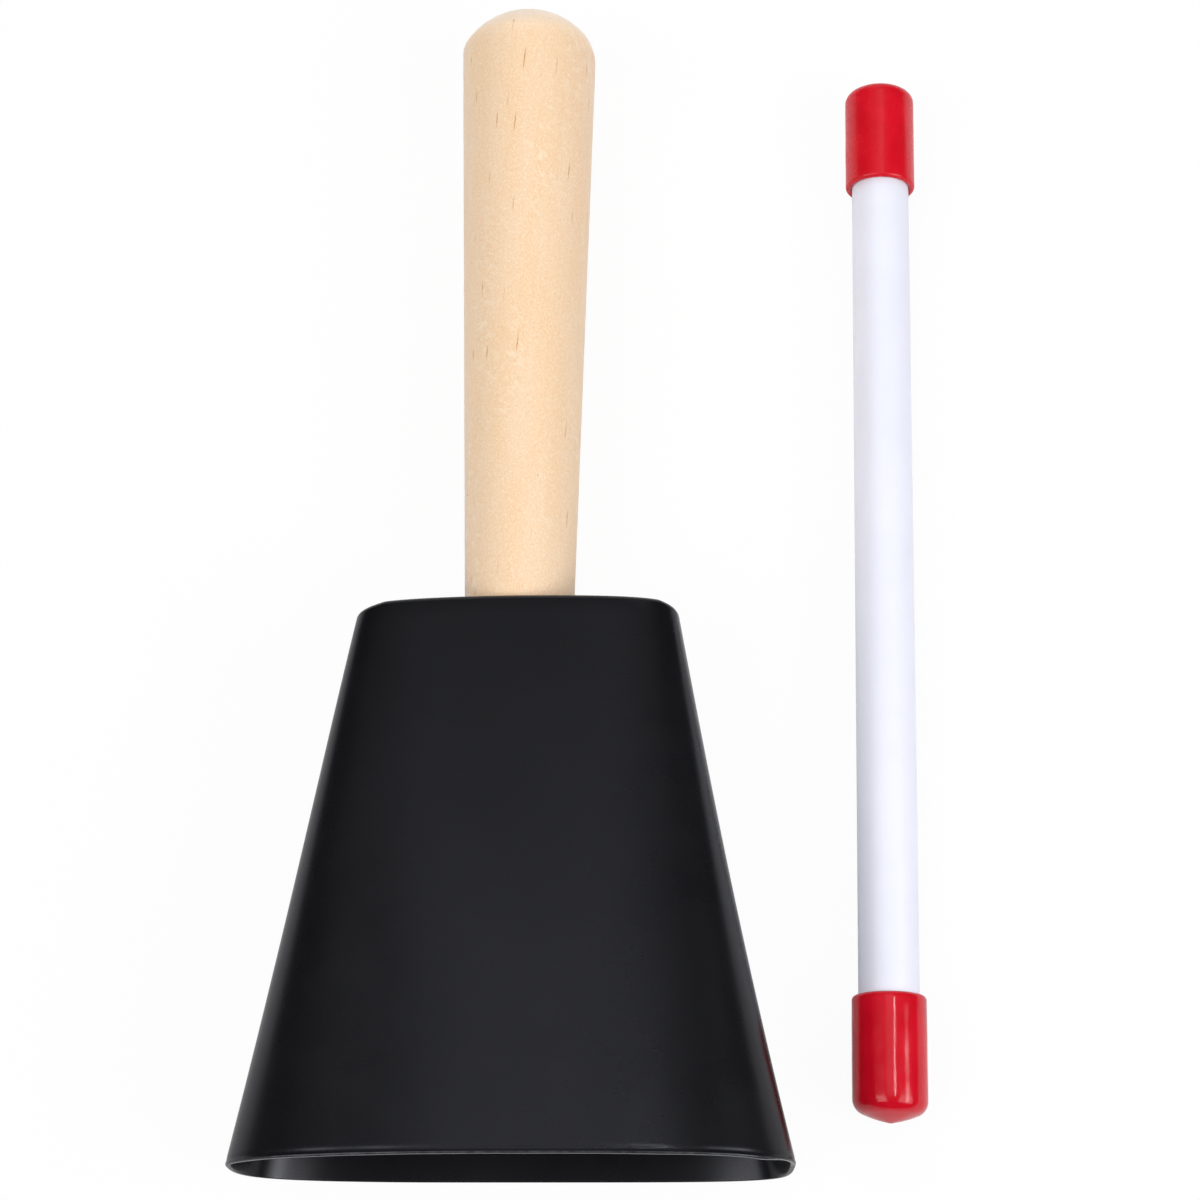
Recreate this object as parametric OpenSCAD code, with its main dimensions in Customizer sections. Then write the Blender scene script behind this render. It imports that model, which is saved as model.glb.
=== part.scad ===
// Hand cowbell with a turned wooden handle, and its capped beater lying beside it.
// Both lie flat on a table: the mouth of the bell faces -Y, its handle points to +Y.

/* [Bell] */
// Height of the bell along its axis, from the mouth to the top of the crown
bell_h = 127.5; // [100:0.5:160]
// Width of the mouth, side to side
mouth_w = 124; // [105:1:150]
// Depth of the mouth, front face to back face
mouth_d = 50; // [42:1:64]
// Width of the crown
crown_w = 74; // [60:1:95]
// Depth of the crown
crown_d = 30; // [28:0.5:40]
// How far the sides draw in at half height, against a straight taper, both sides together
side_hollow = 1.1; // [0:0.1:4]
// Thickness of the steel sheet
sheet_t = 1.2; // [0.8:0.1:2]
// Outside radius of the fold round the crown
fold_r = 2; // [2:0.1:4]
// Squareness of the mouth's oval: 2 is an ellipse, more is boxier
mouth_square = 2.9; // [2:0.1:4]
// Squareness of the crown's oval
crown_square = 3.8; // [2.4:0.1:5]

/* [Handle] */
// Length of the straight taper, from the crown to the shoulder
handle_len = 148.1; // [110:0.1:180]
// Diameter at the shoulder
shoulder_d = 33.2; // [28:0.2:40]
// Diameter where the handle sits on the crown
foot_d = 25.4; // [18:0.2:25.8]
// Height of the domed end above the shoulder
dome_h = 10; // [6:0.5:14]

/* [Handle fixing] */
// Diameter of the wood screw
screw_d = 5; // [4:0.5:6]
// Length of the wood screw under its head
screw_len = 40; // [25:1:60]
// Diameter of the screw's head
head_d = 10; // [9:0.5:12]
// Height of the rim of the screw's head
head_rim_h = 1.4; // [1:0.1:2]
// Rise of the rounded top of the screw's head
head_dome_h = 1.8; // [1:0.1:3]
// Width of each slot of the cross recess
recess_w = 1.3; // [0.8:0.1:1.8]
// Length of the cross recess
recess_l = 5; // [3:0.5:6]
// Depth of the cross recess, from the top of the head
recess_depth = 1.9; // [1:0.1:2.2]
// Diameter of the flat washer
washer_d = 16; // [13:0.5:20]
// Thickness of the flat washer
washer_t = 1.2; // [0.8:0.1:2]

/* [Beater] */
// Diameter of the rod
rod_d = 14; // [10:0.5:18]
// Length of the rod, end to end
rod_len = 251.2; // [180:0.1:300]
// Wall of the dipped caps
cap_wall = 1.55; // [1:0.05:3]
// Length of a cap's straight side, from its rim to the start of its shoulder
cap_side = 24; // [15:0.5:40]
// Radius of a cap's shoulder
cap_shoulder_r = 2.2; // [1.5:0.1:4]
// Radius of the lip at a cap's rim
cap_lip_r = 0.65; // [0.3:0.05:0.7]
// Slope of a cap's shallow pointed end, degrees from flat
cap_slope = 20; // [10:1:35]
// Radius of the blunt point of a cap
cap_point_r = 2.5; // [1.5:0.1:4]
// Thickness of a cap's end over the rod, at the shoulder
cap_end = 1.5; // [1:0.1:2.2]

/* [Layout] */
// Clear distance between the mouth of the bell and the near side of the beater
beater_gap = 13.9; // [8:0.1:40]
// How far the beater's middle lies from the middle of the bell and handle, towards the mouth
beater_shift = 1.2; // [-10:0.1:20]
// Turn of the beater away from the bell's axis, degrees
beater_skew = 0.9; // [0:0.1:2]

/* [Clearances] */
// Play round the screw in the crown and the washer
hole_play = 0.25; // [0.1:0.05:0.5]
// Play round the screw in the handle, and round the rod in its caps
push_fit = 0.05; // [0.02:0.01:0.1]

/* [Hidden] */
$fn = 96;

// Faces round the oval of the bell, and steps along its wall and its fold
ring_points = 80;
wall_steps = 6;
fold_steps = 4;
// Smallest inside radius of the fold
inner_fold_min = 0.3;
// Steps in each rounded corner of a cap's profile
corner_steps = 5;
// Overlap that lets a cut pass clean through a face
cut_past = 1;

// Rest pose of the bell: it touches the table at the lower lip of the mouth and at the handle's shoulder
shoulder_at = bell_h + handle_len;
rest_tilt = atan((mouth_d - shoulder_d) / 2 / shoulder_at);
axis_z = mouth_d / 2 * cos(rest_tilt);

// The dome is a cap of this sphere
dome_r = (pow(shoulder_d / 2, 2) + pow(dome_h, 2)) / (2 * dome_h);

// Reach of the tilted bell along Y, measured from the centre of its mouth
bell_y_low = -mouth_d / 2 * sin(rest_tilt);
bell_y_high = (shoulder_at + dome_h - dome_r) * cos(rest_tilt) + dome_r;
bell_y = -(bell_y_low + bell_y_high) / 2;

// Beater sizes: the rod bottoms in both caps
cap_bore_r = rod_d / 2 + push_fit;
cap_r = cap_bore_r + cap_wall;
cap_seat = cap_side + cap_shoulder_r - cap_end;
beater_straight = rod_len - 2 * cap_seat + 2 * cap_side;
beater_reach_x = beater_straight / 2 * sin(beater_skew) + cap_r * cos(beater_skew);

// Places along X, with the whole set centred on the origin
beater_from_bell = mouth_w / 2 + beater_gap + beater_reach_x;
bell_x = (mouth_w / 2 - beater_from_bell - beater_reach_x) / 2;
beater_x = bell_x + beater_from_bell;

// Points of an oval with semi-axes w / 2 and d / 2, in a plane across the bell's axis at height h
function power(x, e) = sign(x) * pow(abs(x), e);
function oval(w, d, square, h) = [
    for (i = [0 : ring_points - 1])
        let (a = 360 * (i + 0.5) / ring_points)
        [w / 2 * power(cos(a), 2 / square), h, d / 2 * power(sin(a), 2 / square)]
];

// Oval of the bell at height h, drawn in by inset on every side
function blend(a, b, h) = a + (b - a) * h / bell_h;
function hollow(h) = side_hollow * 4 * h / bell_h * (1 - h / bell_h);
function bell_oval(h, inset) = oval(
    blend(mouth_w, crown_w, h) - hollow(h) - 2 * inset,
    blend(mouth_d, crown_d, h) - 2 * inset,
    blend(mouth_square, crown_square, h),
    h
);

// Rings of one skin of the bell, from the mouth up the wall and over the fold
function bell_skin(top, radius, inset) = concat(
    [for (i = [0 : wall_steps]) bell_oval((top - radius) * i / wall_steps, inset)],
    [
        for (i = [1 : fold_steps])
            let (a = 90 * i / fold_steps)
            bell_oval(top - radius + radius * sin(a), inset + radius * (1 - cos(a)))
    ]
);

function reversed(list) = [for (i = [len(list) - 1 : -1 : 0]) list[i]];

// Points of an arc in a cap's profile
function arc(centre, r, from, to) = [
    for (i = [0 : corner_steps])
        let (a = from + (to - from) * i / corner_steps)
        centre + r * [cos(a), sin(a)]
];

// Closed solid through a list of rings, with a flat face at each end
module loft(rings) {
    count = len(rings[0]);
    last = len(rings) - 1;
    sides = [
        for (k = [0 : last - 1], i = [0 : count - 1])
            let (j = (i + 1) % count, a = k * count, b = a + count)
            each [[a + i, b + i, b + j], [a + i, b + j, a + j]]
    ];
    start = [for (i = [0 : count - 1]) i];
    end = [for (i = [count - 1 : -1 : 0]) last * count + i];
    polyhedron([for (r = rings) each r], concat(sides, [start, end]));
}

// Sets the bell down in its rest pose; its children are drawn with the bell's axis along +Y
module at_bell() {
    translate([bell_x, bell_y, axis_z])
        rotate([-rest_tilt, 0, 0])
            children();
}

// Turns +Z to the bell's axis, at height h above the mouth
module on_axis(h) {
    translate([0, h, 0])
        rotate([-90, 0, 0])
            children();
}

// Sets the beater down; its children are drawn with the rod along +Z, centred on its length
module at_beater() {
    translate([beater_x, -beater_shift, cap_r])
        rotate([0, 0, -beater_skew])
            rotate([-90, 0, 0])
                children();
}

// Folded and welded sheet: outer skin down to the mouth, then the inner skin back up to the crown
module bell_shell() {
    outer = bell_skin(bell_h, fold_r, 0);
    inner = bell_skin(bell_h - sheet_t, max(fold_r - sheet_t, inner_fold_min), sheet_t);
    color([0.07, 0.07, 0.08])
        at_bell()
            difference() {
                loft(concat(reversed(outer), inner));
                on_axis(bell_h - sheet_t - cut_past)
                    cylinder(d = screw_d + 2 * hole_play, h = sheet_t + 2 * cut_past);
            }
}

// Turned handle: a straight taper under a domed end, drilled from below for the screw
module handle() {
    bore_depth = screw_len - sheet_t - washer_t + cut_past;
    color([0.93, 0.8, 0.62])
        at_bell()
            on_axis(bell_h)
                difference() {
                    union() {
                        cylinder(d1 = foot_d, d2 = shoulder_d, h = handle_len);
                        intersection() {
                            translate([0, 0, handle_len + dome_h - dome_r])
                                sphere(dome_r);
                            translate([0, 0, handle_len])
                                cylinder(d = shoulder_d, h = dome_h + cut_past);
                        }
                    }
                    translate([0, 0, -cut_past])
                        cylinder(r = screw_d / 2 + push_fit, h = bore_depth + cut_past);
                }
}

// Pan-head wood screw, driven up through the washer and the crown into the handle
module handle_screw() {
    point_h = screw_d;
    seat = bell_h - sheet_t - washer_t;
    head_h = head_rim_h + head_dome_h;
    round_r = (pow(head_d / 2, 2) + pow(head_dome_h, 2)) / (2 * head_dome_h);
    color([0.72, 0.73, 0.74])
        at_bell()
            on_axis(seat)
                difference() {
                    union() {
                        cylinder(d = screw_d, h = screw_len - point_h);
                        translate([0, 0, screw_len - point_h])
                            cylinder(d1 = screw_d, d2 = screw_d / 5, h = point_h);
                        translate([0, 0, -head_rim_h])
                            cylinder(d = head_d, h = head_rim_h);
                        intersection() {
                            translate([0, 0, round_r - head_h])
                                sphere(round_r);
                            translate([0, 0, -head_h - cut_past])
                                cylinder(d = head_d, h = head_dome_h + cut_past);
                        }
                    }
                    for (turn = [0, 90])
                        rotate([0, 0, turn])
                            translate([-recess_l / 2, -recess_w / 2, -head_h - cut_past])
                                cube([recess_l, recess_w, recess_depth + cut_past]);
                }
}

// Flat washer between the screw's head and the inside of the crown
module washer() {
    color([0.72, 0.73, 0.74])
        at_bell()
            on_axis(bell_h - sheet_t - washer_t)
                difference() {
                    cylinder(d = washer_d, h = washer_t);
                    translate([0, 0, -cut_past])
                        cylinder(d = screw_d + 2 * hole_play, h = washer_t + 2 * cut_past);
                }
}

// White rod of the beater
module beater_rod() {
    color([0.93, 0.93, 0.95])
        at_beater()
            cylinder(d = rod_d, h = rod_len, center = true);
}

// Dipped cap, open at z = 0: round lip, straight side, round shoulder and a shallow blunt point
module cap() {
    normal = 90 - cap_slope;
    shoulder = [cap_r - cap_shoulder_r, cap_side];
    rise = (shoulder[0] * cos(normal) - cap_point_r + cap_shoulder_r) / sin(normal);
    profile = concat(
        [[0, cap_seat], [cap_bore_r, cap_seat]],
        arc([cap_bore_r + cap_lip_r, cap_lip_r], cap_lip_r, 180, 270),
        arc([cap_r - cap_lip_r, cap_lip_r], cap_lip_r, 270, 360),
        arc(shoulder, cap_shoulder_r, 0, normal),
        arc([0, cap_side + rise], cap_point_r, normal, 90)
    );
    rotate_extrude()
        polygon(profile);
}

// Cap at the beater's end nearer the mouth, turned so that its point faces -Y
module beater_tip_cap() {
    color([0.8, 0.09, 0.12])
        at_beater()
            translate([0, 0, cap_seat - rod_len / 2])
                rotate([180, 0, 0])
                    cap();
}

// Cap at the beater's far end
module beater_grip_cap() {
    color([0.8, 0.09, 0.12])
        at_beater()
            translate([0, 0, rod_len / 2 - cap_seat])
                cap();
}

bell_shell();
handle();
handle_screw();
washer();
beater_rod();
beater_tip_cap();
beater_grip_cap();
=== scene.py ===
"""Looks of the hand cowbell and its beater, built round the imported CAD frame. All lengths are in metres."""

import math

import bpy
from mathutils import Matrix, Vector, noise


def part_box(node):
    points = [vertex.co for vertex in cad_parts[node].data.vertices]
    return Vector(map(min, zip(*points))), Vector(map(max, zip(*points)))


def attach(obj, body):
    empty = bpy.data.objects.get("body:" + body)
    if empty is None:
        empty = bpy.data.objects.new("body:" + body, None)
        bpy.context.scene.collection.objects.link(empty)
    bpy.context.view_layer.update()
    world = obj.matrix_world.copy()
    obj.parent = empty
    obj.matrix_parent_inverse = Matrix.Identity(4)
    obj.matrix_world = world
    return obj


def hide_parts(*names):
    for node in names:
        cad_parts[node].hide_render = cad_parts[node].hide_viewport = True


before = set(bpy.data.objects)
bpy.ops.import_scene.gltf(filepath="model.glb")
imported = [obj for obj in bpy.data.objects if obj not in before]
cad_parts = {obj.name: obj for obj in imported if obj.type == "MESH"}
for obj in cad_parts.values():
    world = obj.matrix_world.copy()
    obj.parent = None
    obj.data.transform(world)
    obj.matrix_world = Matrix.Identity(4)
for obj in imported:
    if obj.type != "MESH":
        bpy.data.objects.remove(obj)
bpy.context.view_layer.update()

MM = 0.001

# Bell
BELL_H = 127.5 * MM
MOUTH_W = 124 * MM
MOUTH_D = 50 * MM
CROWN_W = 74 * MM
CROWN_D = 30 * MM
SIDE_HOLLOW = 1.7 * MM
SIDE_BOW = 0.35 * MM
SHEET_T = 1.2 * MM
FOLD_R = 1.6 * MM
HOLE_R = 2.75 * MM

# Squareness of the bell's ovals in each quarter: upper right, upper left, lower left, lower right
MOUTH_SQUARE = (2.8, 2.5, 3.3, 4.7)
CROWN_SQUARE = (6.0, 6.2, 5.4, 5.4)
# Power of the height with which it changes from mouth to crown, and the shares of a quarter after which
# and over which it eases to the next quarter's value
SQUARE_GROWTH = 2
SQUARE_EASE_FROM = 0.2
SQUARE_EASE_OVER = 0.6

# Bow of the crown down to its ends, and its nipped corners: where each starts, as a share of the half
# width, how steeply it falls from there, and how fast the bow and the nips fade down the wall
CROWN_BOW = 1.15 * MM
LEFT_NIP_FROM = 0.815
LEFT_NIP = 6.6 * MM
RIGHT_NIP_FROM = 0.876
RIGHT_NIP = 8.0 * MM
CROWN_FADE = 8

# Slant of the upper face across the bell, down to the left, and how far it drops for that
MOUTH_SLANT = 0.02
CROWN_SLANT = 0.04
SLANT_DROP = 0.006

# Rim of the mouth: its rounded edges, and the shallow groove along it
RIM_OUTER_R = 0.5 * MM
RIM_INNER_R = 0.15 * MM
GROOVE_DEPTH = 0.11 * MM
GROOVE_AT = 1.05 * MM
GROOVE_WIDTH = 0.55 * MM
# Share of that depth on average, its swing along the rim, and the length of the swing
GROOVE_SHARE = 0.65
GROOVE_SWING = 0.7
GROOVE_SWING_LEN = 9 * MM
# Waves of the cut edge: size, length, reach up the wall, and the height over which they fade in
# from the middle of the mouth to its upper half
RIM_WAVE = 0.07 * MM
RIM_WAVE_LEN = 12 * MM
RIM_WAVE_REACH = 8 * MM
RIM_WAVE_RISE = 10 * MM
# Bend of the rim near its right corner: how far it moves, where and over what width, and the share
# and place of the bend back beside it
NICK = 0.28 * MM
NICK_AT = 59 * MM
NICK_WIDTH = 3 * MM
NICK_BACK = 0.8
NICK_BACK_AT = 54.2 * MM

# Handle
HANDLE_LEN = 148.1 * MM
SHOULDER_D = 33.2 * MM
FOOT_D = 25.4 * MM
DOME_H = 10 * MM
SHOULDER_EDGE_CRISP = 0.5 * MM
SHOULDER_EDGE_SOFT = 4 * MM
HANDLE_LEAN = math.radians(0.16)
# Reach down the handle of the dome's lighter colour, which is partly end grain and partly painted light
END_GRAIN_LIGHT_REACH = 4 * MM

# Beater
ROD_D = 14 * MM
ROD_LEN = 251.2 * MM
ROD_EDGE = 0.4 * MM
PUSH_FIT = 0.05 * MM
CAP_WALL = 1.55 * MM
CAP_DEPTH = 24.7 * MM
CAP_BORE_DRAWN = 6 * MM
CAP_POINT_R = 2.5 * MM
CAP_SWELL = 0.15 * MM
BEATER_SKEW = math.radians(0.9)
# Unevenness of the caps: how far the skin is drawn in, over what length, and how often round the cap
CAP_WOBBLE = 0.1 * MM
WOBBLE_LEN = 6 * MM
WOBBLE_ROUND = 2
# The two caps, which dried a little differently: round lip, straight side, shoulder, slope and lean
# of the end, and roughness of the skin; and depth of its red, lowered on the tip cap as painted shade
TIP_END = {"lip": 1.1 * MM, "side": 23.6 * MM, "shoulder": 3.5 * MM, "slope": math.radians(17),
           "lean": 0.03, "dullness": 0.1, "painted_shade_redness": 0.92}
GRIP_END = {"lip": 0.8 * MM, "side": 23.6 * MM, "shoulder": 2.7 * MM, "slope": math.radians(20),
            "lean": 0.0, "dullness": 0.22, "painted_shade_redness": 1.0}
# Share of the straight side at which the lean begins
LEAN_FROM = 0.8

# Faces round each piece, and steps by which the bell's ovals are measured
BELL_SIDES = 256
ROUND_SIDES = 128
OVAL_STEPS = 1440

# Rows of faces along each piece
INNER_ROWS = 41
OUTER_ROWS = 50
GROOVE_ROWS = 20
GROOVE_STEP = 0.15 * MM
CROWN_ROWS = 6
TAPER_ROWS = 300
DOME_ROWS = 48
ROD_ROWS = 80
ROD_EDGE_ROWS = 4
CAP_BORE_ROWS = 6
CAP_SIDE_ROWS = 40
CAP_SHOULDER_ROWS = 12
CAP_SLOPE_ROWS = 12
CAP_POINT_ROWS = 10
# Powers by which the bell's rows crowd toward its mouth
INNER_CROWDING = 1.5
OUTER_CROWDING = 1.3

# Colours of the finishes
PAINT_DARK = (0.0034, 0.0034, 0.0044, 1)
PAINT_LIGHT = (0.0048, 0.0048, 0.0060, 1)
# Lighter colour at the mouth's edge: partly worn paint, partly a painted highlight of the rim on its upper
# half
PAINT_WORN_AND_RIM_HIGHLIGHT = (0.055, 0.056, 0.062, 1)
PAINT_GLOSS = (0.86, 0.87, 0.95, 1)
WOOD_WARM = (0.86, 0.598, 0.36, 1)
WOOD_COOL = (0.865, 0.622, 0.405, 1)
# Lighter colour of the dome: partly its end grain, partly painted light standing in for light from beyond the
# handle
WOOD_END_PAINTED_LIGHT = (0.96, 0.785, 0.62, 1)
WOOD_PALE_SPECKLE = (0.94, 0.78, 0.61, 1)
WOOD_DARK_SPECKLE = (0.79, 0.51, 0.28, 1)
WOOD_FIBRE = (0.80, 0.53, 0.29, 1)
WOOD_RIPPLE = (0.94, 0.78, 0.60, 1)
WOOD_FLECK = (0.60, 0.26, 0.07, 1)
WOOD_PIT = (0.22, 0.12, 0.07, 1)
ROD_DARK = (0.778, 0.793, 0.895, 1)
ROD_LIGHT = (0.803, 0.818, 0.92, 1)
ROD_SPECK = (0.5, 0.5, 0.52, 1)
VINYL_DARK = (0.59, 0.0035, 0.0135)
VINYL_LIGHT = (0.65, 0.0055, 0.0185)
ZINC_DARK = (0.52, 0.53, 0.55, 1)
ZINC_LIGHT = (0.66, 0.67, 0.68, 1)

# Floor: a white sheet that ends on a grey table top, and the share of plain white in it, seen by the camera
# and in reflections
FLOOR_HALF = 15.0
SHEET_DARK = (0.81, 0.81, 0.82, 1)
SHEET_LIGHT = (0.83, 0.83, 0.84, 1)
TABLE_TOP = (0.16, 0.16, 0.17, 1)
SHEET_END = 0.25
TABLE_START = 0.75
FLOOR_SEEN = 0.95
FLOOR_MIRRORED = 0.1
WHITE = (1, 1, 1, 1)

# Light tent: where each glow lies, the cosines at its edge and its middle, and its brightness at both
TENT_TINT = (0.98, 0.985, 1.0, 1)
TENT_PANEL = {"toward": (-0.08, 0.265, 1), "edge": 0.96, "middle": 1.0, "glow": (0.05, 0.9)}
TENT_WIDE = {"toward": (-0.15, 0.2, 1), "edge": 0.7, "middle": 0.96, "glow": (0.0, 0.22)}
TENT_FAR_END = {"toward": (0, 1, 0), "edge": 0.75, "middle": 0.95, "glow": (0.0, 0.6)}
# Power of an area lamp for each unit of its radiance and area
LAMP_POWER = 4

# Camera: focal length and sideways shift in the photograph's pixels, place, and lean from straight down
FRAME_PX = 1200
LENS_PX = 2750
SHIFT_PX = -41
SENSOR = 36.0
CAMERA_AT = (10.82 * MM, -202.3 * MM, 634 * MM)
CAMERA_LEAN = math.radians(17.3)

# Derived sizes
REST_TILT = math.atan((MOUTH_D - SHOULDER_D) / 2 / (BELL_H + HANDLE_LEN))
DOME_R = ((SHOULDER_D / 2) ** 2 + DOME_H ** 2) / (2 * DOME_H)
CAP_BORE_R = ROD_D / 2 + PUSH_FIT
CAP_R = CAP_BORE_R + CAP_WALL
ANGLES = [2 * math.pi * i / ROUND_SIDES for i in range(ROUND_SIDES)]


# Places, tied to the frame

def middle(node):
    """Centre of a CAD node's box."""
    low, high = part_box(node)
    return (low + high) / 2


def bell_place():
    """Matrix that sets a piece drawn along +Y, with the mouth's centre at the origin, on the CAD bell."""
    reach = (BELL_H + HANDLE_LEN + DOME_H - DOME_R) * math.cos(REST_TILT) + DOME_R
    mouth_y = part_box("handle")[1].y - reach
    centre = Vector((middle("bell_shell").x, mouth_y, MOUTH_D / 2 * math.cos(REST_TILT)))
    return Matrix.Translation(centre) @ Matrix.Rotation(-REST_TILT, 4, "X")


def beater_place():
    """Matrix that sets a piece drawn along +Y, centred on the rod, on the CAD beater."""
    return Matrix.Translation(middle("beater_rod")) @ Matrix.Rotation(-BEATER_SKEW, 4, "Z")


BELL = bell_place()
BEATER = beater_place()


# Curves

def between(a, b, t):
    """Value that lies a share t of the way from a to b."""
    return a + (b - a) * t


def clamp(t):
    """Share, kept between 0 and 1."""
    return min(max(t, 0.0), 1.0)


def hump(t):
    """Parabola that is 0 at both ends and 1 halfway."""
    return 4 * t * (1 - t)


def bump_at(x, centre, width):
    """Smooth bump of height 1."""
    return math.exp(-((x - centre) / width) ** 2)


def power(x, exponent):
    """Power of a number's size, with its sign kept."""
    return math.copysign(abs(x) ** exponent, x)


def arc(centre, radius, start, end, steps=8):
    """Points (radial, axial) of an arc, angles in degrees."""
    angles = [math.radians(start + (end - start) * i / steps) for i in range(steps + 1)]
    return [(centre[0] + radius * math.cos(a), centre[1] + radius * math.sin(a)) for a in angles]


def line(start, end, steps):
    """Points between two ends, both left out."""
    return [tuple(s + (e - s) * i / steps for s, e in zip(start, end)) for i in range(1, steps)]


def heights(low, high, steps, crowding):
    """Heights between two ends, both left out, crowded toward the lower one."""
    return [between(low, high, (i / steps) ** crowding) for i in range(1, steps)]


# Meshes

def skin(name, rings, place, cap_start=False, cap_end=False):
    """Smooth mesh through closed rings of points, all with the same count."""
    count = len(rings[0])
    points = [p for ring in rings for p in ring]
    faces = []
    for k in range(len(rings) - 1):
        a = k * count
        b = a + count
        for i in range(count):
            j = (i + 1) % count
            faces.append((a + i, b + i, b + j, a + j))
    if cap_start:
        faces.append(tuple(range(count)))
    if cap_end:
        faces.append(tuple(reversed(range(len(points) - count, len(points)))))
    mesh = bpy.data.meshes.new(name)
    mesh.from_pydata(points, [], faces)
    mesh.validate()
    mesh.transform(place)
    mesh.shade_smooth()
    piece = bpy.data.objects.new(name, mesh)
    bpy.context.scene.collection.objects.link(piece)
    return piece


def turned(profile, wobble=0.0, seed=0.0):
    """Rings round +Y from a profile of (radial, axial) points, drawn in unevenly by up to the wobble."""
    rings = []
    for radius, along in profile:
        ring = []
        for a in ANGLES:
            x, z = math.cos(a), math.sin(a)
            spot = Vector((WOBBLE_ROUND * x, along / WOBBLE_LEN + seed, WOBBLE_ROUND * z))
            r = radius - wobble * (1 - noise.noise(spot)) / 2
            ring.append((r * x, along, r * z))
        rings.append(ring)
    return rings


def dress(piece, body, material):
    """Gives a piece its finish and sets it on its body."""
    piece.data.materials.clear()
    piece.data.materials.append(material)
    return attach(piece, body)


# Bell

def square_at(square, turn):
    """Squareness at a turn counted in quarters, eased from the middle of one quarter to that of the next."""
    past = turn - 0.5
    low = math.floor(past)
    t = clamp((past - low - SQUARE_EASE_FROM) / SQUARE_EASE_OVER)
    ease = t * t * (3 - 2 * t)
    return between(square[low % 4], square[(low + 1) % 4], ease)


def oval(width, depth, square, slant, h):
    """Points of an oval across the bell's axis, evenly spaced along its outline."""
    dense = []
    for i in range(OVAL_STEPS + 1):
        a = 2 * math.pi * i / OVAL_STEPS
        n = square_at(square, 4 * i / OVAL_STEPS)
        x = width / 2 * power(math.cos(a), 2 / n)
        z = depth / 2 * power(math.sin(a), 2 / n)
        if z > 0:
            z += (slant * x / (depth / 2) - SLANT_DROP) * z
        dense.append((x, z))
    lengths = [0.0]
    for p, q in zip(dense, dense[1:]):
        lengths.append(lengths[-1] + math.dist(p, q))
    ring = []
    k = 0
    for i in range(BELL_SIDES):
        goal = lengths[-1] * i / BELL_SIDES
        while lengths[k + 1] < goal:
            k += 1
        t = (goal - lengths[k]) / (lengths[k + 1] - lengths[k])
        x, z = (between(p, q, t) for p, q in zip(dense[k], dense[k + 1]))
        ring.append((x, h, z))
    return ring


def crown_drop(x, h):
    """How far a point lies below its height, because the crown bows down and its corners are nipped."""
    reach = x / (CROWN_W / 2)
    nip = max(LEFT_NIP * (-reach - LEFT_NIP_FROM), RIGHT_NIP * (reach - RIGHT_NIP_FROM), 0.0)
    return (CROWN_BOW * reach ** 2 + nip) * (h / BELL_H) ** CROWN_FADE


def bell_oval(h, inset):
    """Oval of the bell at height h above the mouth, drawn in by inset on every side."""
    t = h / BELL_H
    width = between(MOUTH_W, CROWN_W, t) - SIDE_HOLLOW * hump(t) - 2 * inset
    depth = between(MOUTH_D, CROWN_D, t) - 2 * inset
    square = [between(m, c, t ** SQUARE_GROWTH) for m, c in zip(MOUTH_SQUARE, CROWN_SQUARE)]
    slant = between(MOUTH_SLANT, CROWN_SLANT, t)
    bow = SIDE_BOW * hump(t)
    return [(x - bow, y - crown_drop(x, h), z) for x, y, z in oval(width, depth, square, slant, h)]


def rim_ring(h, inset, groove):
    """Oval near the mouth: a shallow groove of uneven depth, and an edge that was cut a little wavy."""
    plain = bell_oval(h, inset)
    deep = bell_oval(h, inset + groove)
    fade = max(0.0, 1 - h / RIM_WAVE_REACH) ** 2
    ring = []
    for p, q in zip(plain, deep):
        spot = Vector((p[0], 0, p[2]))
        share = GROOVE_SHARE + GROOVE_SWING * noise.noise(spot / GROOVE_SWING_LEN)
        x, y, z = Vector(p).lerp(Vector(q), share)
        nick = bump_at(x, NICK_AT, NICK_WIDTH) - NICK_BACK * bump_at(x, NICK_BACK_AT, NICK_WIDTH)
        wave = RIM_WAVE * noise.noise(spot / RIM_WAVE_LEN) + NICK * nick
        ring.append((x, y + wave * fade * clamp(z / RIM_WAVE_RISE), z))
    return ring


def bell_rows():
    """Rows (height, inset, groove) down the inside of the wall, round the rim and up the outside."""
    inner_r = FOLD_R - SHEET_T
    inner_top = BELL_H - SHEET_T
    fold_in = arc((SHEET_T + inner_r, inner_top - inner_r), inner_r, 180, 90)
    rim_in = arc((SHEET_T - RIM_INNER_R, RIM_INNER_R), RIM_INNER_R, 0, -90)
    rim_out = arc((RIM_OUTER_R, RIM_OUTER_R), RIM_OUTER_R, -90, -180)
    fold_out = arc((FOLD_R, BELL_H - FOLD_R), FOLD_R, 180, 90)
    inside = heights(RIM_INNER_R, inner_top - inner_r, INNER_ROWS, INNER_CROWDING)
    groove = [RIM_OUTER_R + i * GROOVE_STEP for i in range(1, GROOVE_ROWS + 1)]
    outside = heights(groove[-1], BELL_H - FOLD_R, OUTER_ROWS, OUTER_CROWDING)
    rows = [(h, inset, 0.0) for inset, h in reversed(fold_in)]
    rows += [(h, SHEET_T, 0.0) for h in reversed(inside)]
    rows += [(h, inset, 0.0) for inset, h in rim_in + rim_out]
    rows += [(h, 0.0, GROOVE_DEPTH * bump_at(h, GROOVE_AT, GROOVE_WIDTH)) for h in groove]
    rows += [(h, 0.0, 0.0) for h in outside]
    rows += [(h, inset, 0.0) for inset, h in fold_out]
    return rows


def crown_rings(edge, h):
    """Rings of the crown, from its oval edge in to the round screw hole."""
    rings = []
    for k in range(1, CROWN_ROWS + 1):
        ring = []
        for x, _, z in edge:
            reach = math.hypot(x, z)
            shrink = between(reach, HOLE_R, k / CROWN_ROWS) / reach
            ring.append((x * shrink, h - crown_drop(x * shrink, h), z * shrink))
        rings.append(ring)
    return rings


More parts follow.
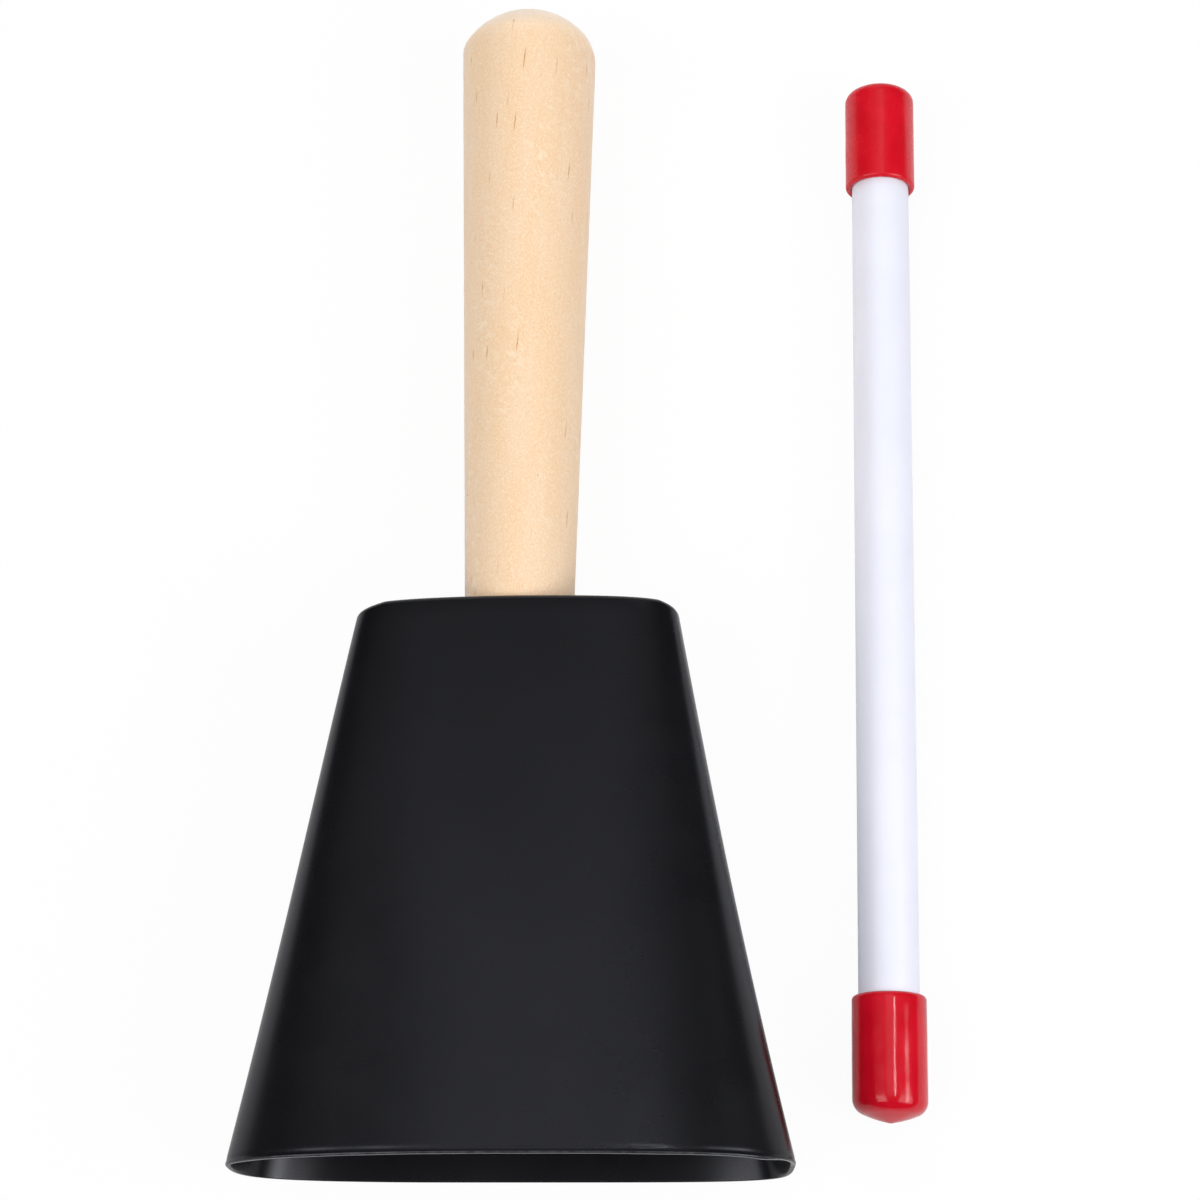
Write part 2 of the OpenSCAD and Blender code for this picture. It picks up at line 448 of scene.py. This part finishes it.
def make_bell():
    """Folded steel shell: inner skin, rounded rim, outer skin with its fold, and the screw's hole."""
    rings = [rim_ring(*row) if row[0] < RIM_WAVE_REACH else bell_oval(*row[:2]) for row in bell_rows()]
    crown_in = crown_rings(rings[0], BELL_H - SHEET_T)
    crown_out = crown_rings(rings[-1], BELL_H)
    rings = crown_in[::-1] + rings + crown_out
    rings.append(rings[0])
    bell = skin("bell", rings, BELL)
    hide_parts("bell_shell")
    return dress(bell, "bell", black_paint())


# Handle

def smoothed(points, reach):
    """Rounds a profile's shoulder: each point becomes the mean of the outline within reach of it."""
    tiny = 1e-9
    mean = []
    for r, y in points:
        away = abs(y - HANDLE_LEN)
        if away > 2 * reach:
            mean.append((r, y))
            continue
        span = reach * (1 - away / (2 * reach)) + tiny
        near = [p for p in points if math.dist(p, (r, y)) <= span]
        mean.append((sum(p[0] for p in near) / len(near), sum(p[1] for p in near) / len(near)))
    return mean


def handle_profile(edge):
    """Handle's outline from its foot to the top of the dome, with the shoulder rounded over a length."""
    foot = (FOOT_D / 2, 0.0)
    shoulder = (SHOULDER_D / 2, HANDLE_LEN)
    dome_start = math.degrees(math.acos(shoulder[0] / DOME_R))
    sharp = [foot] + line(foot, shoulder, TAPER_ROWS) + [shoulder]
    sharp += arc((0, HANDLE_LEN + DOME_H - DOME_R), DOME_R, dome_start, 90, DOME_ROWS)[1:]
    return smoothed(sharp, edge)


def make_handle():
    """Turned handle, its shoulder crisp on one side and sanded softer on the other."""
    outlines = []
    for a in ANGLES:
        soft = (1 + math.cos(a)) / 2
        outlines.append(handle_profile(between(SHOULDER_EDGE_CRISP, SHOULDER_EDGE_SOFT, soft ** 2)))
    rings = []
    for k in range(len(outlines[0]) - 1):
        spots = [outline[k] for outline in outlines]
        rings.append([(r * math.cos(a), y, r * math.sin(a)) for a, (r, y) in zip(ANGLES, spots)])
    place = BELL @ Matrix.Translation((0, BELL_H, 0)) @ Matrix.Rotation(-HANDLE_LEAN, 4, "Z")
    handle = skin("wood_handle", rings, place, cap_start=True, cap_end=True)
    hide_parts("handle")
    return dress(handle, "bell", pale_wood())


# Beater

def make_rod():
    """White rod, with edges just broken at its hidden ends."""
    radius = ROD_D / 2
    end = ROD_LEN / 2 - ROD_EDGE
    profile = arc((radius - ROD_EDGE, -end), ROD_EDGE, -90, 0, ROD_EDGE_ROWS)
    profile += line((radius, -end), (radius, end), ROD_ROWS)
    profile += arc((radius - ROD_EDGE, end), ROD_EDGE, 0, 90, ROD_EDGE_ROWS)
    rod = skin("white_rod", turned(profile), BEATER, cap_start=True, cap_end=True)
    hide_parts("beater_rod")
    return dress(rod, "beater", white_plastic())


def cap_profile(lip, side, shoulder, slope):
    """Outline of a dipped cap from inside its bore to the top: round lip, side, shoulder and blunt point."""
    normal = math.pi / 2 - slope
    turn = math.degrees(normal)
    corner = (CAP_R - shoulder, side)
    rise = (corner[0] * math.cos(normal) - CAP_POINT_R + shoulder) / math.sin(normal)
    inner_lip = CAP_WALL - lip
    profile = [(CAP_BORE_R, CAP_BORE_DRAWN)]
    profile += line(profile[0], (CAP_BORE_R, inner_lip), CAP_BORE_ROWS)
    profile += arc((CAP_BORE_R + inner_lip, inner_lip), inner_lip, 180, 270)
    profile += arc((CAP_R - lip, lip), lip, 270, 360)[1:]
    profile += line((CAP_R, lip), (CAP_R, side), CAP_SIDE_ROWS)
    profile += arc(corner, shoulder, 0, turn, CAP_SHOULDER_ROWS)
    point = arc((0.0, side + rise), CAP_POINT_R, turn, 90, CAP_POINT_ROWS)
    for k, (r, y) in enumerate(line(profile[-1], point[0], CAP_SLOPE_ROWS), 1):
        swell = CAP_SWELL * hump(k / CAP_SLOPE_ROWS)
        profile.append((r + swell * math.cos(normal), y + swell * math.sin(normal)))
    return profile + point[:-1]


def make_cap(name, node, shape, end, seed):
    """Dipped cap on one end of the rod: -1 is the tip's end and 1 the grip's."""
    profile = cap_profile(shape["lip"], shape["side"], shape["shoulder"], shape["slope"])
    rings = turned(profile, CAP_WOBBLE, seed)
    for ring in rings:
        fade = clamp((ring[0][1] / shape["side"] - LEAN_FROM) / (1 - LEAN_FROM))
        ring[:] = [(x, y - fade * shape["lean"] * x, z) for x, y, z in ring]
    place = BEATER @ Matrix.Translation((0, end * (ROD_LEN / 2 - CAP_DEPTH), 0))
    if end < 0:
        place = place @ Matrix.Rotation(math.pi, 4, "Z")
    cap = skin(name, rings, place, cap_end=True)
    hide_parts(node)
    finish = red_vinyl("red_vinyl_" + name, shape["dullness"], shape["painted_shade_redness"])
    return dress(cap, "beater", finish)


# Materials

class Tree:
    """A node tree, with short calls for the nodes that the finishes and the world share."""

    def __init__(self, tree):
        self.tree = tree

    def put(self, socket, value):
        """Links a socket to another, or sets its value."""
        if isinstance(value, bpy.types.NodeSocket):
            self.tree.links.new(value, socket)
        else:
            socket.default_value = value

    def node(self, kind, **inputs):
        """New node, with its inputs by name."""
        made = self.tree.nodes.new(kind)
        for key, value in inputs.items():
            self.put(made.inputs[key.replace("_", " ")], value)
        return made

    def ramp(self, value, low, high, to=(0.0, 1.0)):
        """Smooth step of a value that runs from low to high."""
        made = self.node("ShaderNodeMapRange", Value=value, From_Min=low, From_Max=high)
        made.interpolation_type = "SMOOTHSTEP"
        self.put(made.inputs["To Min"], to[0])
        self.put(made.inputs["To Max"], to[1])
        return made.outputs["Result"]

    def math(self, operation, a, b):
        """Sum, product or other result of two numbers."""
        made = self.node("ShaderNodeMath")
        made.operation = operation
        self.put(made.inputs[0], a)
        self.put(made.inputs[1], b)
        return made.outputs["Value"]

    def measure(self, operation, *vectors):
        """Number worked out from vectors, such as a length."""
        made = self.node("ShaderNodeVectorMath")
        made.operation = operation
        for socket, vector in zip(made.inputs, vectors):
            self.put(socket, vector)
        return made.outputs["Value"]


class Shader(Tree):
    """A material, with coordinates that lie along its piece."""

    # Where a mix node keeps its sockets for colours
    MIX_A = 6
    MIX_B = 7
    MIX_RESULT = 2

    def __init__(self, name, place=None):
        self.material = bpy.data.materials.new(name)
        self.material.use_nodes = True
        super().__init__(self.material.node_tree)
        self.surface = self.tree.nodes["Principled BSDF"]
        self.coords = self.node("ShaderNodeTexCoord").outputs["Object"]
        if place is not None:
            turned_back = self.node("ShaderNodeMapping", Vector=self.coords)
            turned_back.vector_type = "TEXTURE"
            turned_back.inputs["Location"].default_value = place.to_translation()
            turned_back.inputs["Rotation"].default_value = place.to_euler()
            self.coords = turned_back.outputs["Vector"]

    def scaled(self, x, y, z, lean=0.0):
        """The piece's coordinates, leaned over by degrees and then scaled along each axis."""
        leaned = self.node("ShaderNodeMapping", Vector=self.coords, Rotation=(0, 0, math.radians(lean)))
        made = self.node("ShaderNodeMapping", Vector=leaned.outputs["Vector"], Scale=(x, y, z))
        return made.outputs["Vector"]

    def noise(self, vector, scale=1.0, detail=3.0, roughness=0.5):
        """Soft noise, mostly between 0.3 and 0.7."""
        made = self.node("ShaderNodeTexNoise", Vector=vector, Scale=scale, Detail=detail, Roughness=roughness)
        return made.outputs["Fac"]

    def cells(self, vector, scale=1.0):
        """Distance from the middles of scattered cells."""
        return self.node("ShaderNodeTexVoronoi", Vector=vector, Scale=scale).outputs["Distance"]

    def mix(self, fac, a, b):
        """Blend of two colours."""
        made = self.node("ShaderNodeMix")
        made.data_type = "RGBA"
        self.put(made.inputs["Factor"], fac)
        self.put(made.inputs[self.MIX_A], a)
        self.put(made.inputs[self.MIX_B], b)
        return made.outputs[self.MIX_RESULT]

    def bump(self, height, distance, strength=1.0, normal=None):
        """Normal of a fine relief, on top of another one if given."""
        made = self.node("ShaderNodeBump", Height=height, Distance=distance, Strength=strength)
        if normal is not None:
            self.put(made.inputs["Normal"], normal)
        return made.outputs["Normal"]

    def set(self, **inputs):
        """Inputs of the surface by name."""
        for key, value in inputs.items():
            self.put(self.surface.inputs[key.replace("_", " ")], value)


def black_paint():
    """Satin black paint: a fine orange peel, uneven sheen, and a lighter band at the edge of the mouth's
    upper half, partly thinner paint and partly a painted highlight of the rim.
    """
    s = Shader("black_paint", BELL)
    cloud = s.noise(s.coords, scale=35, detail=4)
    tone = s.mix(s.ramp(cloud, 0.3, 0.7), PAINT_DARK, PAINT_LIGHT)
    place = s.node("ShaderNodeSeparateXYZ", Vector=s.coords)
    along = place.outputs["Y"]
    up = place.outputs["Z"]
    # Lighter band just above the cut edge, on the upper half of the mouth only: partly worn paint, partly a
    # painted highlight of the rim
    edge_start = s.ramp(along, 0.02 * MM, 0.12 * MM)
    edge_end = s.ramp(along, 0.3 * MM, 0.55 * MM, to=(1.0, 0.0))
    edge = s.math("MULTIPLY", s.math("MULTIPLY", edge_start, edge_end), s.ramp(up, 0.0, 12 * MM))
    scuff = s.ramp(s.noise(s.scaled(1, 0.2, 1), scale=420, detail=4), 0.35, 0.7, to=(0.25, 1.0))
    tone = s.mix(s.math("MULTIPLY", edge, scuff), tone, PAINT_WORN_AND_RIM_HIGHLIGHT)
    sheen = s.ramp(s.noise(s.coords, scale=90, detail=5), 0.25, 0.75, to=(0.26, 0.3))
    peel = s.bump(s.noise(s.coords, scale=2600, detail=2), 0.02 * MM, strength=0.35)
    cut_face = s.ramp(along, 0.03 * MM, 0.15 * MM, to=(1.0, 0.0))
    lower_cut = s.math("MULTIPLY", cut_face, s.ramp(up, 6 * MM, 14 * MM, to=(1.0, 0.0)))
    gloss = s.ramp(lower_cut, 0.0, 1.0, to=(0.36, 0.05))
    s.set(Base_Color=tone, Roughness=sheen, Normal=peel, Specular_IOR_Level=gloss)
    s.set(Specular_Tint=PAINT_GLOSS)
    return s.material


def pale_wood():
    """Pale close-grained wood: soft clouds of colour, fine grain, thin leaning flecks, a few pits, and a
    lighter dome, partly its end grain's own colour and partly painted light.
    """
    s = Shader("pale_wood", BELL)
    shoulder = BELL_H + HANDLE_LEN
    cloud = s.ramp(s.noise(s.scaled(170, 24, 170, lean=4)), 0.36, 0.64)
    tone = s.mix(cloud, WOOD_WARM, WOOD_COOL)
    along = s.node("ShaderNodeSeparateXYZ", Vector=s.coords).outputs["Y"]
    # Dome painted lighter: partly its end grain's own colour, partly painted light standing in for light from
    # beyond the handle
    end_grain_painted_light = s.ramp(along, shoulder - END_GRAIN_LIGHT_REACH, shoulder + DOME_H / 2, to=(0.0, 0.9))
    tone = s.mix(end_grain_painted_light, tone, WOOD_END_PAINTED_LIGHT)
    speckle = s.noise(s.scaled(1, 0.6, 1), scale=3000, detail=1.5)
    tone = s.mix(s.ramp(speckle, 0.42, 0.72, to=(0.0, 0.6)), tone, WOOD_PALE_SPECKLE)
    dark_speckle = s.noise(s.scaled(1, 0.5, 1), scale=2300, detail=1.5)
    tone = s.mix(s.ramp(dark_speckle, 0.5, 0.78, to=(0.0, 0.45)), tone, WOOD_DARK_SPECKLE)
    fibre = s.noise(s.scaled(700, 30, 700, lean=5), detail=4, roughness=0.6)
    tone = s.mix(s.ramp(fibre, 0.5, 0.8, to=(0.0, 0.2)), tone, WOOD_FIBRE)
    ripple = s.ramp(s.noise(s.scaled(420, 620, 420, lean=35), detail=2), 0.5, 0.68)
    patch = s.ramp(s.noise(s.scaled(70, 20, 70), detail=2), 0.45, 0.65, to=(0.0, 0.5))
    tone = s.mix(s.math("MULTIPLY", ripple, patch), tone, WOOD_RIPPLE)
    fleck = s.ramp(s.cells(s.scaled(560, 26, 560, lean=6)), 0.045, 0.14, to=(1.0, 0.0))
    ragged = s.ramp(s.noise(s.scaled(1, 0.3, 1), scale=1300, detail=2), 0.32, 0.6, to=(0.45, 1.0))
    tone = s.mix(s.math("MULTIPLY", s.math("MULTIPLY", fleck, ragged), 0.85), tone, WOOD_FLECK)
    pit = s.ramp(s.cells(s.coords, scale=115), 0.025, 0.05, to=(1.0, 0.0))
    tone = s.mix(s.math("MULTIPLY", pit, 0.6), tone, WOOD_PIT)
    sheen = s.ramp(fibre, 0.3, 0.7, to=(0.5, 0.64))
    hollows = s.bump(pit, 0.1 * MM, strength=-0.5)
    grain = s.bump(speckle, 0.03 * MM, strength=0.3, normal=hollows)
    s.set(Base_Color=tone, Roughness=sheen, Normal=grain, Specular_IOR_Level=0.3)
    s.set(Sheen_Weight=0.35, Sheen_Roughness=0.5)
    return s.material


def white_plastic():
    """White plastic: faint drawing lines along the rod and a soft uneven sheen."""
    s = Shader("white_plastic", BEATER)
    drawn = s.noise(s.scaled(900, 6, 900))
    cloud = s.noise(s.coords, scale=60)
    tone = s.mix(s.ramp(cloud, 0.3, 0.7), ROD_DARK, ROD_LIGHT)
    speck = s.ramp(s.cells(s.coords, scale=220), 0.03, 0.06, to=(0.16, 0.0))
    tone = s.mix(speck, tone, ROD_SPECK)
    sheen = s.ramp(drawn, 0.3, 0.7, to=(0.36, 0.46))
    lines = s.bump(drawn, 0.01 * MM, strength=0.3)
    s.set(Base_Color=tone, Roughness=sheen, Normal=lines, Specular_IOR_Level=0.4)
    return s.material


def red_vinyl(name, dullness, painted_shade_redness):
    """Glossy dipped vinyl: slow ripples in the skin and slightly uneven colour."""
    s = Shader(name, BEATER)
    # The tip cap's darker red is painted shade on the same vinyl as the grip cap
    dark, light = ((red * painted_shade_redness, green, blue, 1) for red, green, blue in (VINYL_DARK, VINYL_LIGHT))
    tone = s.mix(s.ramp(s.noise(s.coords, scale=140), 0.3, 0.7), dark, light)
    sheen = s.ramp(s.noise(s.coords, scale=400), 0.3, 0.7, to=(dullness, dullness + 0.06))
    ripple = s.bump(s.noise(s.scaled(1, 0.35, 1), scale=420, detail=2), 0.06 * MM, strength=0.4)
    s.set(Base_Color=tone, Roughness=sheen, Normal=ripple, Specular_IOR_Level=0.35)
    return s.material


def zinc_steel():
    """Zinc-plated steel of the screw and washer, a little clouded."""
    s = Shader("zinc_steel", BELL)
    cloud = s.noise(s.coords, scale=700, detail=4)
    tone = s.mix(s.ramp(cloud, 0.3, 0.7), ZINC_DARK, ZINC_LIGHT)
    sheen = s.ramp(cloud, 0.3, 0.7, to=(0.28, 0.45))
    s.set(Base_Color=tone, Roughness=sheen, Metallic=1.0, Normal=s.bump(cloud, 0.01 * MM, strength=0.4))
    return s.material


def dress_fixing():
    """The screw and the washer keep their CAD shapes, with a plated finish."""
    finish = zinc_steel()
    for node in ("handle_screw", "washer"):
        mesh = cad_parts[node].data
        mesh.materials.clear()
        mesh.materials.append(finish)


# Studio

def make_floor():
    """White sheet on a grey table top, kept pale in view while it still takes the object's soft shadow."""
    size = FLOOR_HALF
    mesh = bpy.data.meshes.new("floor")
    corners = [(-size, -size, 0), (size, -size, 0), (size, size, 0), (-size, size, 0)]
    mesh.from_pydata(corners, [], [(0, 1, 2, 3)])
    floor = bpy.data.objects.new("floor", mesh)
    bpy.context.scene.collection.objects.link(floor)
    s = Shader("floor")
    sheet = s.mix(s.noise(s.coords, scale=6, detail=2), SHEET_DARK, SHEET_LIGHT)
    reach = s.measure("LENGTH", s.coords)
    sheet = s.mix(s.ramp(reach, SHEET_END, TABLE_START), sheet, TABLE_TOP)
    s.set(Base_Color=sheet, Roughness=0.9)
    seen = s.node("ShaderNodeLightPath").outputs
    direct = s.math("MULTIPLY", seen["Is Camera Ray"], FLOOR_SEEN)
    mirrored = s.math("MAXIMUM", seen["Is Glossy Ray"], seen["Is Transmission Ray"])
    share = s.math("MAXIMUM", direct, s.math("MULTIPLY", mirrored, FLOOR_MIRRORED))
    glow = s.node("ShaderNodeEmission", Color=WHITE, Strength=1.0)
    blend = s.node("ShaderNodeMixShader", Fac=share)
    s.put(blend.inputs[1], s.surface.outputs["BSDF"])
    s.put(blend.inputs[2], glow.outputs["Emission"])
    s.put(s.tree.nodes["Material Output"].inputs["Surface"], blend.outputs["Shader"])
    mesh.materials.append(s.material)


def make_world():
    """Light tent, white to the camera only: a panel overhead, dim sides, and a glow beyond the handle."""
    world = bpy.data.worlds.new("tent")
    world.use_nodes = True
    bpy.context.scene.world = world
    t = Tree(world.node_tree)
    coords = t.node("ShaderNodeTexCoord").outputs["Generated"]
    total = 0.0
    for part in (TENT_PANEL, TENT_WIDE, TENT_FAR_END):
        facing = t.measure("DOT_PRODUCT", coords, Vector(part["toward"]).normalized())
        glow = t.ramp(facing, part["edge"], part["middle"], to=part["glow"])
        total = t.math("ADD", total, glow)
    seen = t.node("ShaderNodeLightPath").outputs["Is Camera Ray"]
    back = t.tree.nodes["Background"]
    t.put(back.inputs["Color"], TENT_TINT)
    t.put(back.inputs["Strength"], t.math("MAXIMUM", seen, total))


def make_lamp(name, place, aim, size, radiance, turn=0.0):
    """Soft rectangular lamp at a place, facing a point, with its second side along Y turned by an angle."""
    lamp = bpy.data.lights.new(name, "AREA")
    lamp.shape = "RECTANGLE"
    lamp.size, lamp.size_y = size
    lamp.energy = LAMP_POWER * radiance * size[0] * size[1]
    back = (Vector(place) - Vector(aim)).normalized()
    across = Vector((0, 1, 0)).cross(back).normalized()
    axes = Matrix((across, back.cross(across), back)).transposed()
    holder = bpy.data.objects.new(name, lamp)
    holder.location = place
    holder.rotation_euler = (axes @ Matrix.Rotation(math.radians(turn), 3, "Z")).to_euler()
    bpy.context.scene.collection.objects.link(holder)
    return holder


def make_lamps():
    """Two large keys, a band and a strip for the caps' highlights, a far strip, and a fill without gloss."""
    make_lamp("right_key", place=(1.72, -0.78, 1.69), aim=(0, 0, 0), size=(2.0, 1.9), radiance=2.15)
    make_lamp("left_key", place=(-1.52, -0.78, 1.88), aim=(0, 0, 0), size=(2.0, 1.9), radiance=2.53)
    make_lamp("right_band", place=(0.82, -0.32, 0.66), aim=(0.07, -0.32, 0), size=(0.2, 0.66), radiance=5.2)
    make_lamp("near_strip", place=(0.26, 0.03, 1.1), aim=(0.07, 0.03, 0), size=(0.05, 0.16), radiance=18.0,
              turn=5)
    make_lamp("far_strip", place=(0.1, 0.31, 0.35), aim=(0.073, 0.13, 0), size=(0.07, 0.16), radiance=0.6)
    far_fill = make_lamp("far_fill", place=(-0.3, 1.7, 1.1), aim=(0, 0.1, 0), size=(1.2, 1.2), radiance=2.1)
    far_fill.visible_glossy = False


def make_camera():
    """The photograph's view: from above, leaning from the mouth's side."""
    camera = bpy.data.cameras.new("camera")
    camera.sensor_fit = "HORIZONTAL"
    camera.sensor_width = SENSOR
    camera.lens = SENSOR * LENS_PX / FRAME_PX
    camera.shift_x = SHIFT_PX / FRAME_PX
    holder = bpy.data.objects.new("camera", camera)
    holder.location = CAMERA_AT
    holder.rotation_euler = (CAMERA_LEAN, 0, 0)
    bpy.context.scene.collection.objects.link(holder)
    bpy.context.scene.camera = holder


make_bell()
make_handle()
make_rod()
make_cap("tip_cap", "beater_tip_cap", TIP_END, end=-1, seed=3.0)
make_cap("grip_cap", "beater_grip_cap", GRIP_END, end=1, seed=11.0)
dress_fixing()

make_floor()
make_world()
make_lamps()
make_camera()
bpy.context.scene.view_settings.view_transform = "Standard"
